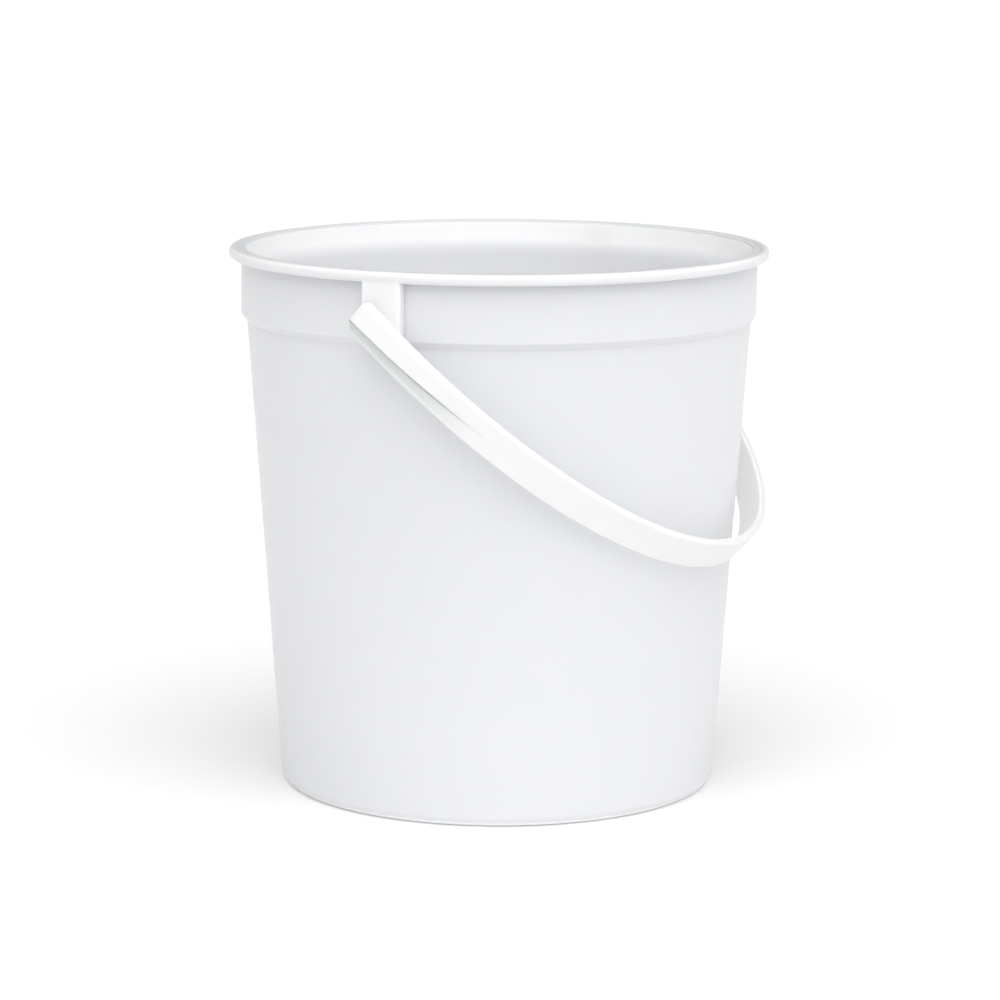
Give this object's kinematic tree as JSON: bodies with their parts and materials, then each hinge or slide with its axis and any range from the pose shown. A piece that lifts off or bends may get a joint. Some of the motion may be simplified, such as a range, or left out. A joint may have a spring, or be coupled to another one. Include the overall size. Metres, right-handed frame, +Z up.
{
  "type": "plastic fermenting bucket",
  "caption": "Round tapered translucent plastic pail with a stepped band, turned-down rim and ear pads that carry a hinged ribbon bail handle.",
  "frame": {"origin": "centre of the foot, on the plane that the pail stands on", "axes": "+Z up through the mouth, X along the handle's hinge axis, the handle hangs against the -Y side of the pail"},
  "size_m": [0.2574, 0.242, 0.2435],
  "materials": {
    "pail_plastic": "natural translucent polyethylene, cool white, smooth satin skin with a soft gloss",
    "handle_plastic": "opaque bright white moulded plastic, soft gloss"
  },
  "bodies": {
    "pail": {"pail_body": "pail_plastic"},
    "handle": {"bail_handle": "handle_plastic"}
  },
  "joints": [
    {"name": "handle_swing", "type": "hinge", "parent": "pail", "child": "handle", "pos_m": [0, 0, 0.2182], "axis": [-1, 0, 0], "range_deg": [0, 264]}
  ]
}
